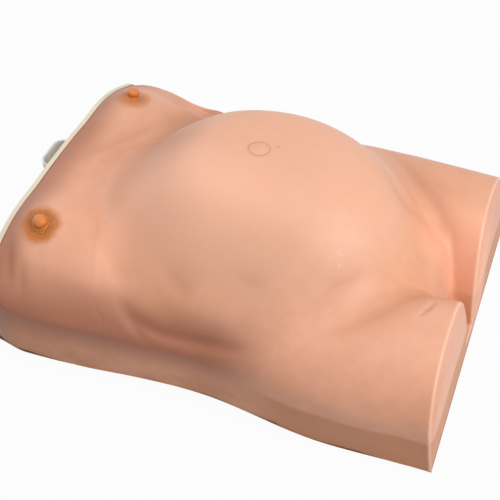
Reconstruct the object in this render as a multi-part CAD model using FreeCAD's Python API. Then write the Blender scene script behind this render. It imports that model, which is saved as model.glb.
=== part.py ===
"""Maternity examination model: a supine training torso with a soft skin over a hard tray.

The torso lies along X with the chest end at -X, the thighs at +X and the floor at Z = 0.
The origin is on the floor, half way along the skin. All sizes are in millimetres.
"""
import FreeCAD
import Part
import math
import os

V = FreeCAD.Vector

# Driving dimensions: the outline of the torso, seen from above
length = 574.0            # outer face of the end plate to the cut thighs, at the floor
end_half_width = 216.0    # at the end plate
chest_half_width = 223.0
waist_half_width = 202.0
hip_half_width = 215.0
foot_half_width = 208.0   # at the cut thighs

# Places along the torso, as shares of its length from the end plate's face
chest_share = 0.073       # widest place of the chest
breast_share = 0.103
nipple_share = 0.082
breast_full_share = 0.0645
rib_share = 0.169
rib_arch_share = 0.204    # sharpest arch of the trunk
hollow_share = 0.213      # hollow between the ribs and the belly, at each side
under_rib_share = 0.326
arch_end_share = 0.343    # where that arch has run out
waist_share = 0.491       # narrowest place, also the navel's
fold_share = 0.509        # middle of the fold between the belly and the flank
belly_share = 0.517
hip_share = 0.761
mons_share = 0.911
crotch_share = 0.977      # the gap between the thighs is open from here on

# Driving dimensions: heights of the trunk without its belly
chest_side_height = 86.0  # top of the upright side wall at the chest end
foot_side_height = 66.0   # the same at the cut thighs
side_tuck = 5.0           # how far the wall draws in at the floor
chest_height = 150.0      # on the middle plane, at the end plate
rib_height = 143.0
under_rib_height = 129.0
loin_height = 127.0
mons_height = 118.0
crotch_floor_height = 14.0
trunk_bow = 1.8           # how squarely the trunk turns down into the side wall
hollow_depth = 15.0
hollow_reach = 58.0
hollow_offset = 150.0     # from the middle plane, where it starts
hollow_ramp = 50.0        # and the width over which it gets its full depth
hollow_rim = 8.0          # and the width over which it runs out at the side wall
fold_depth = 6.0          # soft fold between the belly and the flank
fold_reach = 105.0
fold_offset = 184.0       # from the middle plane
fold_bend = 26.0          # the fold curves in by this much at its ends
fold_width = 14.0

# Driving dimensions: belly, breasts, thighs
belly_rise = 112.5
belly_reach_to_chest = 222.0
belly_reach_to_foot = 224.0
belly_half_width = 205.0
belly_fullness = 1.96
breast_rise = 18.5
breast_offset = 131.0     # from the middle plane
breast_reach = 105.0
breast_half_width = 84.0
breast_fullness = 1.4
thigh_height = 150.0
thigh_offset = 113.0      # centre line of a thigh at its cut end
thigh_half_width = 96.0
thigh_spread = 15.0       # the thighs run in by this much towards their cut ends
thigh_fall = 60.0         # steepness of the drop inside them, below the crotch floor
groin_blend = 18.0        # width of the rounded groin near the cut ends
loin_blend = 60.0         # the same at the loins
end_lean_deg = 8.0        # the cut faces lean back by this much

# Driving dimensions: skin details
skin_wall = 4.0
hem_height = 3.0          # gap between the floor and the skin's lower edge
nipple_radius = 9.0
nipple_height = 13.0
nipple_seat = 3.0         # how deep a nipple's foot sits in the skin
areola_radius = 15.0      # of its raised middle
areola_rise = 1.4
nipple_offset = 130.0
navel_radius = 13.0
navel_groove = 1.2        # half width of the rounded groove round the navel's disc

# Driving dimensions: hard parts
plate_thickness = 6.0
plate_step = 1.0          # the plate's edge lies this much inside the skin's outer face
tray_wall = 4.0
tray_floor = 4.0
tray_height = 58.0
lip_step = 1.0            # the tray's lip lies this much inside the skin's outer face
fit_gap = 0.3
form_gap = 0.8            # between the soft forms and the skin
boss_radius = 7.0
boss_top = 12.0

# Driving dimensions: pull loop and its clamp
loop_width = 54.0
loop_reach = 16.0         # how far it stands out of the plate
loop_band = 16.0          # height of the band
loop_thickness = 2.2
loop_bend = 14.0          # outer radius of its corners
loop_height = 136.0       # middle of the band, above the floor
clamp_thickness = 8.0
clamp_margin = 6.0        # of the clamp beside the loop's legs
clamp_rim = 0.8           # of the clamp above and below them
clamp_corner = 3.0
clamp_screw_bite = 4.0    # into the plate
screw_radius = 2.0
screw_head_radius = 4.0
screw_head_height = 2.6
plate_screw_depth = 14.0
plate_screw_offsets = (-150.0, -52.0, 52.0, 150.0)
plate_screw_height = 24.0

# Driving dimensions: soft forms
chest_form_share = 0.202  # of the torso's length
thigh_form_length = 74.0
crotch_half_gap = 44.0    # between a thigh form and the middle plane
form_space = 1.0          # between one soft form and the next
bed_height = 104.0
bed_hollow_share = 0.261  # half length of the doll's hollow, as a share of the torso's length
bed_hollow_half_width = 118.0
bed_hollow_depth = 25.0
bed_hollow_lift = 12.0    # middle of the rounded hollow, above the bed's top
channel_half_width = 27.0
channel_height = 48.0

# Driving dimensions: spine
spine_radius = 17.0
spine_height = 30.0
spine_rail_width = 22.0
spine_rail_height = 6.0
spine_inset = 15.0        # of its first screw from the chest form
spine_end_gap = 31.0      # of its last screw from the end of the bed
vertebra_count = 4
disc_share = 0.22         # share of the pitch that is disc

# Driving dimensions: pelvis
pelvis_from_foot = 137.0  # middle of the ring, from the cut thighs
pelvis_tube = 8.0
pelvis_half_width = 64.0
pelvis_ring_height = 51.0
pelvis_pad = 6.0          # thickness of its screw pads
pelvis_screw_reach = 10.0
pelvis_screw_back = 38.0
pelvis_screw_ahead = 46.0
pelvis_screw_offset = 40.0
ring_tilt_deg = 30.0
wing_back = 26.0          # middle of a wing, behind the middle of the ring
wing_radius = 40.0
wing_wall = 7.0

# Driving dimensions: doll
doll_share = 0.51         # its length, as a share of the torso's
head_to_pelvis = 28.0     # middle of the head, behind the middle of the ring
head_radius = 44.0
head_stretch = 1.18
head_narrowing = 0.92
baby_trunk_radius = 47.0
doll_height = 120.0       # its middle plane, above the floor
limb_lift = 20.0          # of the upper arm and leg above that plane, and of the lower below it

# Derived places
chest_face = -length / 2
foot_face = length / 2
skin_start = chest_face + plate_thickness
lean = math.tan(math.radians(end_lean_deg))
nipple_x = chest_face + nipple_share * length
navel_x = chest_face + waist_share * length
belly_x = chest_face + belly_share * length
form_inset = skin_wall + form_gap
loop_leg = (loop_width - loop_thickness) / 2
plate_screw_places = [(y, plate_screw_height) for y in plate_screw_offsets]
chest_form_end = skin_start + chest_form_share * length
thigh_form_start = foot_face - form_inset - thigh_form_length
pelvis_x = foot_face - pelvis_from_foot
pelvis_screw_places = [(pelvis_x + dx, dy) for dx in (-pelvis_screw_back, pelvis_screw_ahead)
                       for dy in (-pelvis_screw_offset, pelvis_screw_offset)]
bed_end = pelvis_x - wing_back - wing_radius - form_space
spine_screw_places = [(chest_form_end + spine_inset, 0.0), (bed_end - spine_end_gap, 0.0)]
doll_length = doll_share * length
head_centre = V(pelvis_x - head_to_pelvis, 2, doll_height - 2)

# Fineness of the modelled surfaces
outer_stations = 47
outer_columns = 57
inner_stations = 37
inner_columns = 43
overrun = 10.0            # the surfaces run this far past the planes that trim them


def at(share):
    """Place along X at a share of the torso's length."""
    return chest_face + share * length


def ease(t):
    """Smooth step from 0 to 1."""
    t = min(max(t, 0.0), 1.0)
    return t * t * (3 - 2 * t)


def along(x, stations):
    """Value at x that eases from one (place, value) station to the next."""
    if x <= stations[0][0]:
        return stations[0][1]
    for (x0, v0), (x1, v1) in zip(stations, stations[1:]):
        if x <= x1:
            return v0 + (v1 - v0) * ease((x - x0) / (x1 - x0))
    return stations[-1][1]


def hill(rho, fullness):
    """Raised cosine: 1 in the middle, 0 at rho = 1, with no kink at either."""
    return 0.5 + 0.5 * math.cos(math.pi * min(rho, 1.0) ** fullness)


def higher_of(a, b, blend):
    """The higher of two surfaces, rounded where they cross."""
    share = max(0.0, 1 - abs(a - b) / blend)
    return max(a, b) + blend * share * share / 4


def half_width(x):
    return along(x, [(chest_face, end_half_width), (at(chest_share), chest_half_width),
                     (at(waist_share), waist_half_width), (at(hip_share), hip_half_width),
                     (foot_face, foot_half_width)])


def side_height(x):
    return along(x, [(chest_face, chest_side_height), (foot_face, foot_side_height)])


def trunk_top(x):
    """Height of the trunk on the middle plane, without the belly."""
    return along(x, [(chest_face, chest_height), (at(rib_share), rib_height),
                     (at(under_rib_share), under_rib_height), (0, loin_height),
                     (at(hip_share), loin_height), (at(mons_share), mons_height),
                     (at(crotch_share), crotch_floor_height)])


def trunk(x, y):
    """A rounded arch over the side walls, a little sharper below the ribs."""
    top = trunk_top(x)
    side = side_height(x)
    squareness = along(x, [(chest_face, 2.3), (at(rib_arch_share), 2.0),
                           (at(arch_end_share), 2.2), (foot_face, 2.4)])
    t = min(abs(y) / half_width(x), 1.0) ** squareness
    if top < side:
        return top + (side - top) * t
    return side + (top - side) * (1 - t) ** (1 / trunk_bow)


def belly(x, y):
    reach = belly_reach_to_chest if x < belly_x else belly_reach_to_foot
    return belly_rise * hill(math.hypot((x - belly_x) / reach, y / belly_half_width), belly_fullness)


def breast(x, y):
    rho = math.hypot((x - at(breast_share)) / breast_reach,
                     (abs(y) - breast_offset) / breast_half_width)
    flattened = along(x, [(chest_face, 0.5), (at(breast_full_share), 1.0)])
    return flattened * breast_rise * hill(rho, breast_fullness)


def thigh(x, y):
    """One thigh: its outer side runs into the side wall, its inner side drops to the crotch."""
    across = abs(y)
    centre = along(x, [(0, thigh_offset + thigh_spread), (foot_face, thigh_offset)])
    reach = along(x, [(0, thigh_half_width - thigh_spread), (foot_face, thigh_half_width)])
    top = along(x, [(at(0.395), 0.6 * thigh_height), (at(0.692), 0.933 * thigh_height),
                    (foot_face, thigh_height)])
    side = side_height(x)
    if across > centre:
        t = min((across - centre) / (half_width(x) - centre), 1.0)
        return side + (top - side) * math.sqrt(1 - t ** 2.2)
    t = (centre - across) / reach
    if t > 1:
        return thigh_fall * (1 - t)
    return top * (1 - t ** 3) ** 0.42


def flank_fold(x, y):
    """The soft fold where the belly meets the flank."""
    t = (x - at(fold_share)) / fold_reach
    if abs(t) >= 1:
        return 0.0
    off = (abs(y) - fold_offset + fold_bend * t * t) / fold_width
    return fold_depth * (1 - t * t) ** 2 * math.exp(-off * off)


def waist_hollow(x, y):
    """The hollow between the ribs and the belly, which ends at the side wall's top."""
    t = (x - at(hollow_share)) / hollow_reach
    if abs(t) >= 1:
        return 0.0
    share = ease((abs(y) - hollow_offset) / hollow_ramp)
    to_wall = math.sqrt(min(max((half_width(x) - abs(y)) / hollow_rim, 0.0), 1.0))
    return hollow_depth * (1 - t * t) ** 2 * share * to_wall


def top_height(x, y):
    blend = along(x, [(0, loin_blend), (at(0.848), groin_blend)])
    body = trunk(x, y) + belly(x, y) + breast(x, y)
    return higher_of(body, thigh(x, y), blend) - flank_fold(x, y) - waist_hollow(x, y)


def surface_normal(x, y):
    step = 1.0
    slope_x = (top_height(x + step, y) - top_height(x - step, y)) / (2 * step)
    slope_y = (top_height(x, y + step) - top_height(x, y - step)) / (2 * step)
    return V(-slope_x, -slope_y, 1)


def section(x, low, count):
    """Evenly spaced (y, z) points across the torso at x, from the near hem to the far hem."""
    wide = half_width(x)
    side = side_height(x)
    steps = 24
    wall = []
    for i in range(steps):
        z = low + (side - low) * i / steps
        wall.append((-wide + side_tuck * (1 - z / side) ** 2, z))
    samples = 260
    ys = [wide * math.sin(math.pi / 2 * (2 * i / samples - 1)) for i in range(samples + 1)]
    profile = wall + [(y, top_height(x, y)) for y in ys] + [(-y, z) for y, z in reversed(wall)]
    run = [0.0]
    for (y0, z0), (y1, z1) in zip(profile, profile[1:]):
        run.append(run[-1] + math.hypot(y1 - y0, z1 - z0))
    points = []
    k = 0
    for i in range(count):
        target = run[-1] * i / (count - 1)
        while k < len(run) - 2 and run[k + 1] < target:
            k += 1
        t = (target - run[k]) / (run[k + 1] - run[k])
        (y0, z0), (y1, z1) = profile[k], profile[k + 1]
        points.append((y0 + (y1 - y0) * t, z0 + (z1 - z0) * t))
    return points


def torso_grid(stations, columns):
    low = -overrun
    start = chest_face - overrun
    step = (foot_face + overrun - start) / (stations - 1)
    return [[V(start + step * i, y, z) for y, z in section(start + step * i, low, columns)]
            for i in range(stations)]


def moved_in(grid, inset):
    """The grid moved inwards along its own normals, with its border kept in its planes."""
    rows = len(grid)
    cols = len(grid[0])
    result = []
    for i in range(rows):
        row = []
        for j in range(cols):
            du = grid[min(i + 1, rows - 1)][j] - grid[max(i - 1, 0)][j]
            dv = grid[i][min(j + 1, cols - 1)] - grid[i][max(j - 1, 0)]
            normal = du.cross(dv)
            normal.normalize()
            p = grid[i][j] - normal * inset
            if i in (0, rows - 1):
                p.x = grid[i][j].x
            if j in (0, cols - 1):
                p.z = grid[i][j].z
            row.append(p)
        result.append(row)
    return result


def solid_under(grid):
    """Closed solid between a surface through the grid and its flat bottom and ends."""
    surface = Part.BSplineSurface()
    surface.interpolate(grid)
    top = surface.toShape()
    faces = [top]
    near, far, chest, foot = [], [], [], []
    low = grid[0][0].z
    for edge in top.Edges:
        points = [v.Point for v in edge.Vertexes]
        if all(abs(p.x - grid[0][0].x) < 1e-4 for p in points):
            chest.append(edge)
        elif all(abs(p.x - grid[-1][0].x) < 1e-4 for p in points):
            foot.append(edge)
        elif points[0].y < 0:
            near.append(edge)
        else:
            far.append(edge)
    chest_line = Part.makeLine(V(grid[0][0].x, grid[0][0].y, low), V(grid[0][-1].x, grid[0][-1].y, low))
    foot_line = Part.makeLine(V(grid[-1][0].x, grid[-1][0].y, low),
                              V(grid[-1][-1].x, grid[-1][-1].y, low))
    faces.append(Part.Face(Part.Wire(Part.__sortEdges__(chest + [chest_line]))))
    faces.append(Part.Face(Part.Wire(Part.__sortEdges__(foot + [foot_line]))))
    faces.append(Part.Face(Part.Wire(Part.__sortEdges__(near + [foot_line] + far + [chest_line]))))
    shell = Part.makeShell(faces)
    shell.sewShape()
    solid = Part.Solid(shell)
    if solid.Volume < 0:
        solid.reverse()
    return solid


def slab(x0, x1, z0, z1, lean_end=False):
    """Everything between two planes across X and two heights; the last end may lean back."""
    far = 2 * chest_half_width
    top_x = x1 - z1 * lean if lean_end else x1
    low_x = x1 - z0 * lean if lean_end else x1
    outline = Part.makePolygon([V(x0, -far, z0), V(low_x, -far, z0), V(top_x, -far, z1),
                                V(x0, -far, z1), V(x0, -far, z0)])
    return Part.Face(outline).extrude(V(0, 2 * far, 0))


def plan_prism(inset, x0, x1, z0, z1, lean_end=False):
    """Upright prism of the torso's outline at the floor, drawn in by an inset, between two planes."""
    count = 25
    start = chest_face - overrun
    step = (foot_face + overrun - start) / (count - 1)
    near = [V(start + step * i, side_tuck + inset - half_width(start + step * i), z0)
            for i in range(count)]
    far = [V(p.x, -p.y, p.z) for p in reversed(near)]
    sides = []
    for points in (near, far):
        curve = Part.BSplineCurve()
        curve.interpolate(points)
        sides.append(curve.toShape())
    lines = [Part.makeLine(near[-1], far[0]), Part.makeLine(far[-1], near[0])]
    wire = Part.Wire([sides[0], lines[0], sides[1], lines[1]])
    prism = Part.Face(wire).extrude(V(0, 0, z1 - z0))
    return prism.common(slab(x0, x1, z0, z1, lean_end))


def capsule_chain(points, radii):
    """Balls joined by tapered runs, fused into one rounded limb."""
    limb = Part.makeSphere(radii[0], points[0])
    for (p, q), (r, s) in zip(zip(points, points[1:]), zip(radii, radii[1:])):
        run = q - p
        if abs(r - s) < 1e-6:
            bar = Part.makeCylinder(r, run.Length, p, run)
        else:
            bar = Part.makeCone(r, s, run.Length, p, run)
        limb = limb.fuse([bar, Part.makeSphere(s, q)])
    return limb


def screw(head_centre, direction, reach):
    """A pan-head screw whose head rests on a face at head_centre and whose shank goes inwards."""
    shank = Part.makeCylinder(screw_radius, reach, head_centre, direction)
    head = Part.makeCylinder(screw_head_radius, screw_head_height, head_centre, direction * -1)
    rim = [e for e in head.Edges if isinstance(e.Curve, Part.Circle)
           and abs((e.Curve.Center - head_centre).Length - screw_head_height) < 1e-6]
    head = head.makeFillet(screw_head_height * 0.45, rim)
    return head.fuse(shank).removeSplitter()


def make_skin(outer, inner):
    """One hollow moulding, open below and at the chest, closed at the cut thighs."""
    shell = outer.common(slab(skin_start, foot_face, hem_height, 400, True))
    hollow = inner.common(slab(chest_face - 5, foot_face - skin_wall, -5, 400, True))
    skin = shell.cut(hollow)
    neck = V(nipple_radius * 0.84, 0, nipple_height * 0.5)
    shoulder = V(nipple_radius * 0.55, 0, nipple_height)
    foot = Part.makePolygon([shoulder, V(0, 0, nipple_height), V(0, 0, -nipple_seat),
                             V(areola_radius, 0, -nipple_seat), V(nipple_radius, 0, areola_rise), neck])
    knob = Part.Arc(neck, V(nipple_radius * 0.93, 0, nipple_height * 0.8), shoulder).toShape()
    profile = Part.Face(Part.Wire(foot.Edges + [knob]))
    nipples = []
    for side in (-1, 1):
        nipple = profile.revolve(V(0, 0, 0), V(0, 0, 1), 360)
        outward = surface_normal(nipple_x, side * nipple_offset)
        place = V(nipple_x, side * nipple_offset, top_height(nipple_x, nipple_offset))
        nipple.Placement = FreeCAD.Placement(place, FreeCAD.Rotation(V(0, 0, 1), outward))
        nipples.append(nipple)
    skin = skin.fuse(nipples)
    rim = V(navel_radius - navel_groove, 0, 0)
    bank = V(navel_radius + navel_groove, 0, 0)
    above = V(0, 0, 3 * navel_groove)
    sides = Part.makePolygon([rim, rim + above, bank + above, bank])
    bottom = Part.Arc(bank, V(navel_radius, 0, -navel_groove), rim).toShape()
    groove = Part.Face(Part.Wire(sides.Edges + [bottom])).revolve(V(0, 0, 0), V(0, 0, 1), 360)
    groove.translate(V(navel_x, 0, top_height(navel_x, 0)))
    skin = skin.cut(groove)
    return skin


def make_plate():
    """Flat board that closes the chest end, a little smaller than the skin's outline."""
    count = 41
    points = section(chest_face + plate_thickness / 2, 0.0, count)
    inner = []
    for j in range(count):
        y0, z0 = points[max(j - 1, 0)]
        y1, z1 = points[min(j + 1, count - 1)]
        size = math.hypot(y1 - y0, z1 - z0)
        y = points[j][0] + (z1 - z0) / size * plate_step
        z = points[j][1] - (y1 - y0) / size * plate_step
        inner.append(V(chest_face, y, 0.0 if j in (0, count - 1) else z))
    curve = Part.BSplineCurve()
    curve.interpolate(inner)
    wire = Part.Wire([curve.toShape(), Part.makeLine(inner[-1], inner[0])])
    plate = Part.Face(wire).extrude(V(plate_thickness, 0, 0))
    for y in (-1, 1):
        slot_width = loop_thickness + 2 * fit_gap
        slot_height = loop_band + 2 * fit_gap
        plate = plate.cut(Part.makeBox(3 * plate_thickness, slot_width, slot_height,
                                       V(chest_face - plate_thickness, y * loop_leg - slot_width / 2,
                                         loop_height - slot_height / 2)))
        plate = plate.cut(Part.makeCylinder(screw_radius, 2 * clamp_screw_bite,
                                            V(skin_start - clamp_screw_bite, y * loop_leg / 3, loop_height),
                                            V(1, 0, 0)))
    for y, z in plate_screw_places:
        plate = plate.cut(Part.makeCylinder(screw_radius + fit_gap, 3 * plate_thickness,
                                            V(chest_face - plate_thickness, y, z), V(1, 0, 0)))
    return plate


def rounded_block(x0, half, radius, tall):
    """Block behind the loop's clamp face with two rounded upright corners at its outer end."""
    back = skin_start + clamp_thickness
    block = Part.makeBox(back - x0, 2 * half, tall, V(x0, -half, loop_height - tall / 2))
    corners = [e for e in block.Edges if abs(e.tangentAt(e.FirstParameter).z) > 0.9
               and e.BoundBox.XMax < x0 + 1]
    return block.makeFillet(radius, corners)


def make_loop():
    """Flat clear band bent into a U: two legs through the plate, a rounded bow outside it."""
    tip = chest_face - loop_reach
    bow = rounded_block(tip, loop_width / 2, loop_bend, loop_band)
    space = rounded_block(tip + loop_thickness, loop_width / 2 - loop_thickness,
                          loop_bend - loop_thickness, 2 * loop_band)
    return bow.cut(space)


def make_clamp():
    """Block on the plate's inner face that grips the loop's two legs, with two screws."""
    wide = loop_width + 2 * clamp_margin
    tall = loop_band + 2 * clamp_rim
    clamp = Part.makeBox(clamp_thickness, wide, tall, V(skin_start, -wide / 2, loop_height - tall / 2))
    upright = [e for e in clamp.Edges if abs(e.tangentAt(e.FirstParameter).x) > 0.9]
    clamp = clamp.makeFillet(clamp_corner, upright)
    for side in (-1, 1):
        leg = Part.makeBox(3 * clamp_thickness, loop_thickness, loop_band,
                           V(skin_start - 1, side * loop_leg - loop_thickness / 2,
                             loop_height - loop_band / 2))
        clamp = clamp.cut(leg)
        clamp = clamp.cut(Part.makeCylinder(screw_radius, 3 * clamp_thickness,
                                            V(skin_start - 1, side * loop_leg / 3, loop_height), V(1, 0, 0)))
    return clamp


def make_tray(liner):
    """Hard tray: a floor whose lip shows below the skin's hem, side walls and screw bosses."""
    end = foot_face - form_inset
    block = plan_prism(form_inset, skin_start, end, 0, tray_height, True).common(liner)
    hollow = plan_prism(form_inset + tray_wall, skin_start + tray_wall, end - tray_wall,
                        tray_floor, tray_height + 1, True)
    lip = plan_prism(lip_step, skin_start, foot_face - lip_step, 0, hem_height - fit_gap)
    tray = block.cut(hollow).fuse(lip)
    bosses = []
    for y, z in plate_screw_places:
        boss = Part.makeCylinder(boss_radius, plate_screw_depth, V(skin_start, y, z), V(1, 0, 0))
        foot = Part.makeBox(plate_screw_depth, 2 * boss_radius, z, V(skin_start, y - boss_radius, 0))
        bosses += [boss, foot]
    for x, y in pelvis_screw_places + spine_screw_places:
        bosses.append(Part.makeCylinder(boss_radius, boss_top - tray_floor, V(x, y, tray_floor)))
    tray = tray.fuse(bosses).removeSplitter()
    for y, z in plate_screw_places:
        tray = tray.cut(Part.makeCylinder(screw_radius, plate_screw_depth - 2, V(skin_start - 1, y, z),
                                          V(1, 0, 0)))
    for x, y in pelvis_screw_places + spine_screw_places:
        tray = tray.cut(Part.makeCylinder(screw_radius, pelvis_screw_reach,
                                          V(x, y, boss_top - pelvis_screw_reach + 1)))
    return tray


def make_form(liner, x0, x1, at_foot=False):
    """Soft form that fills the skin between two planes: it stands in the tray and laps its rim."""
    rim = tray_height + fit_gap
    above = liner.common(slab(x0, x1, rim, 400, at_foot))
    wall = tray_wall + fit_gap
    low_end = x1 - wall if at_foot else x1
    inside = plan_prism(form_inset + wall, max(x0, skin_start + wall), low_end, tray_floor, rim, at_foot)
    return above.fuse(inside.common(liner))


def make_chest_form(liner):
    """Foam under the breasts, with a recess for the loop's clamp and the plate's bosses."""
    x0 = skin_start + fit_gap
    form = make_form(liner, x0, chest_form_end)
    gap = form_space
    wide = loop_width + 2 * clamp_margin + 2 * gap
    tall = loop_band + 2 * clamp_rim + 2 * gap
    form = form.cut(Part.makeBox(clamp_thickness + screw_head_height + 3, wide, 4 * tall,
                                 V(skin_start - 1, -wide / 2, loop_height - tall / 2)))
    for y, z in plate_screw_places:
        form = form.cut(Part.makeBox(plate_screw_depth + gap + 1, 2 * (boss_radius + gap),
                                     z + boss_radius + gap, V(skin_start - 1, y - boss_radius - gap, 0)))
    return form


def make_thigh_form(liner, side):
    """Foam in one thigh stump."""
    form = make_form(liner, thigh_form_start, foot_face - form_inset, True)
    far = 2 * chest_half_width
    keep = Part.makeBox(far, far, far, V(thigh_form_start - 1, crotch_half_gap, 0))
    if side < 0:
        keep = keep.mirror(V(0, 0, 0), V(0, 1, 0))
    return form.common(keep)


def make_bed(liner):
    """Cushion in the middle of the tray: flank rolls outside, a long hollow for the doll inside."""
    x0 = chest_form_end + form_space
    bed = make_form(liner, x0, bed_end).common(slab(x0, bed_end, tray_floor, bed_height))
    hollow = Part.makeSphere(1.0)
    size = FreeCAD.Matrix()
    size.scale(bed_hollow_share * length, bed_hollow_half_width, bed_hollow_depth + bed_hollow_lift)
    hollow = hollow.transformGeometry(size)
    hollow.translate(V((x0 + bed_end) / 2 + 11, 0, bed_height + bed_hollow_lift))
    bed = bed.cut(hollow)
    for limb in doll_limbs(fit_gap) + [doll_head(fit_gap)]:
        bed = bed.cut(limb)
    channel = Part.makeBox(length, 2 * channel_half_width, channel_height,
                           V(chest_face, -channel_half_width, tray_floor - 1))
    rim = [e for e in channel.Edges if abs(e.tangentAt(e.FirstParameter).x) > 0.9
           and e.BoundBox.ZMin > channel_height - 2]
    channel = channel.makeFillet(10.0, rim)
    return bed.cut(channel)


def make_spine():
    """Row of vertebrae and discs on a flat foot rail, moulded as one piece."""
    first, last = spine_screw_places[0][0], spine_screw_places[1][0]
    end = 12.0
    half_rail = spine_rail_width / 2
    rail = Part.makeBox(last - first + 2 * end, spine_rail_width, spine_rail_height,
                        V(first - end, -half_rail, boss_top))
    corners = [e for e in rail.Edges if abs(e.tangentAt(e.FirstParameter).z) > 0.9]
    spine = rail.makeFillet(0.7 * half_rail, corners)
    start = first + 2 * end
    pitch = (last - 2 * end - start) / (vertebra_count - disc_share)
    body_length = pitch * (1 - disc_share)
    half = body_length / 2
    r = spine_radius
    waist = r * 0.84
    pieces = []
    for i in range(vertebra_count):
        x = start + pitch * i
        profile = Part.Wire([
            Part.makeLine(V(x, 0, 0), V(x, r, 0)),
            Part.Arc(V(x, r, 0), V(x + half, waist, 0), V(x + body_length, r, 0)).toShape(),
            Part.makeLine(V(x + body_length, r, 0), V(x + body_length, 0, 0)),
            Part.makeLine(V(x + body_length, 0, 0), V(x, 0, 0))])
        body = Part.Face(profile).revolve(V(x, 0, 0), V(1, 0, 0), 360)
        body.translate(V(0, 0, spine_height))
        pieces.append(body)
        reach = channel_half_width - 4
        side_wing = Part.makeBox(10.0, 2 * reach, 7.0, V(x + half - 5, -reach, spine_height - 9))
        ends = [e for e in side_wing.Edges if abs(e.tangentAt(e.FirstParameter).z) > 0.9]
        pieces.append(side_wing.makeFillet(4.0, ends))
        if i < vertebra_count - 1:
            pieces.append(Part.makeCylinder(r * 0.9, pitch * disc_share + 2,
                                            V(x + body_length - 1, 0, spine_height), V(1, 0, 0)))
    spine = spine.fuse(pieces).removeSplitter()
    below = Part.makeBox(length, 4 * r, 4 * r, V(chest_face, -2 * r, boss_top - 4 * r))
    spine = spine.cut(below)
    for x, y in spine_screw_places:
        spine = spine.cut(Part.makeCylinder(screw_radius + fit_gap, spine_height, V(x, y, 0)))
    return spine


def make_pelvis():
    """Bony ring with two wings, a sacrum, a pubic arch and four screw pads, as one moulding."""
    low = boss_top
    tube = pelvis_tube
    half = pelvis_half_width
    squeeze = FreeCAD.Matrix()
    squeeze.scale(0.86, 1.0, 1.0)
    ring = Part.makeTorus(half, tube).transformGeometry(squeeze)
    ring.rotate(V(0, 0, 0), V(0, 1, 0), -ring_tilt_deg)
    ring.translate(V(pelvis_x, 0, low + pelvis_ring_height))
    ball = Part.makeSphere(1.0)
    shells = []
    for wall in (0.0, wing_wall):
        grow = FreeCAD.Matrix()
        grow.scale(0.9 * half - wall, 1.5 * half - wall, 1.15 * half - wall)
        shells.append(ball.transformGeometry(grow))
    bowl = shells[0].cut(shells[1])
    bowl.translate(V(pelvis_x - 10, 0, low + 84))
    pieces = []
    for side in (-1, 1):
        zone = Part.makeCylinder(wing_radius, 90.0, V(pelvis_x - wing_back, side * 36, low + 62),
                                 V(0, side, -0.12))
        pieces.append(bowl.common(zone))
        arch = [V(pelvis_x + 48, side * 14, low + 74), V(pelvis_x + 52, side * 34, low + 48),
                V(pelvis_x + 46, side * 46, low + 20), V(pelvis_x + 46, side * 40, low + 6)]
        pieces.append(capsule_chain(arch, [tube * 0.9, tube * 0.8, tube * 0.9, tube]))
    sacrum = [(-58, 26, 2), (30, 9, 0), (-52, 20, 26), (26, 6, 10)]
    corners = [(V(pelvis_x + x, -y, low + z), V(pelvis_x + x, y, low + z)) for x, y, z in sacrum]
    outlines = []
    for (back_near, back_far), (tip_near, tip_far) in (corners[:2], corners[2:]):
        outlines.append(Part.makePolygon([back_near, back_far, tip_far, tip_near, back_near]))
    pieces.append(Part.makeLoft(outlines, True, True))
    for x, y in pelvis_screw_places:
        pieces.append(Part.makeCylinder(boss_radius, pelvis_pad, V(x, y, low)))
    back = pelvis_x - pelvis_screw_back
    for side in (-1, 1):
        pieces.append(Part.makeBox(12.0, 44.0, pelvis_pad, V(back - 6, -22 + side * 20, low)))
        post = [V(back, side * pelvis_screw_offset, low + 4), V(pelvis_x - 20, side * (half - 6), low + 34)]
        pieces.append(capsule_chain(post, [5.5, 7.0]))
    pelvis = ring
    for piece in pieces:
        pelvis = pelvis.fuse(piece)
    below = Part.makeBox(6 * half, 6 * half, half, V(pelvis_x - 3 * half, -3 * half, low - half))
    pelvis = pelvis.cut(below)
    for x, y in pelvis_screw_places:
        pelvis = pelvis.cut(Part.makeCylinder(screw_radius + fit_gap, 2 * pelvis_pad, V(x, y, low - 1)))
        pelvis = pelvis.cut(Part.makeCylinder(screw_head_radius + fit_gap, half, V(x, y, low + pelvis_pad)))
    return pelvis


def doll_point(share, y, z):
    """A point of the doll: its place along the doll from the middle, as a share of its length."""
    return V(head_centre.x + (share - 0.416) * doll_length, y, doll_height + z)


def doll_limbs(grow):
    """Trunk, neck, arms and legs of the doll, or the space that they need with a gap round them."""
    r = baby_trunk_radius
    trunk_points = [doll_point(0.218, -8, 0), doll_point(0.082, -16, 4), doll_point(-0.096, -18, 6),
                    doll_point(-0.259, -6, 0)]
    trunk_radii = [share * r + grow for share in (0.62, 0.86, 1.0, 0.92)]
    neck = [doll_point(0.300, -4, 0), doll_point(0.198, -8, 0)]
    limbs = [capsule_chain(trunk_points, trunk_radii),
             capsule_chain(neck, [0.42 * r + grow, 0.5 * r + grow])]
    for side in (-1, 1):
        z = limb_lift * side
        arm = [doll_point(0.150, 6, z + 8 * side), doll_point(0.034, 38, z + 4 * side),
               doll_point(0.157, 56, z - 4 * side)]
        limbs.append(capsule_chain(arm, [12.0 + grow, 9.0 + grow, 7.5 + grow]))
        limbs.append(Part.makeSphere(10.5 + grow, doll_point(0.184, 54, z - 6 * side)))
        leg = [doll_point(-0.280, 16, z), doll_point(-0.075, 54, z + 4 * side),
               doll_point(-0.287, 70, z - 6 * side), doll_point(-0.321, 52, z - 6 * side)]
        limbs.append(capsule_chain(leg, [21.0 + grow, 15.0 + grow, 10.5 + grow, 9.0 + grow]))
    return limbs


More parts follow.
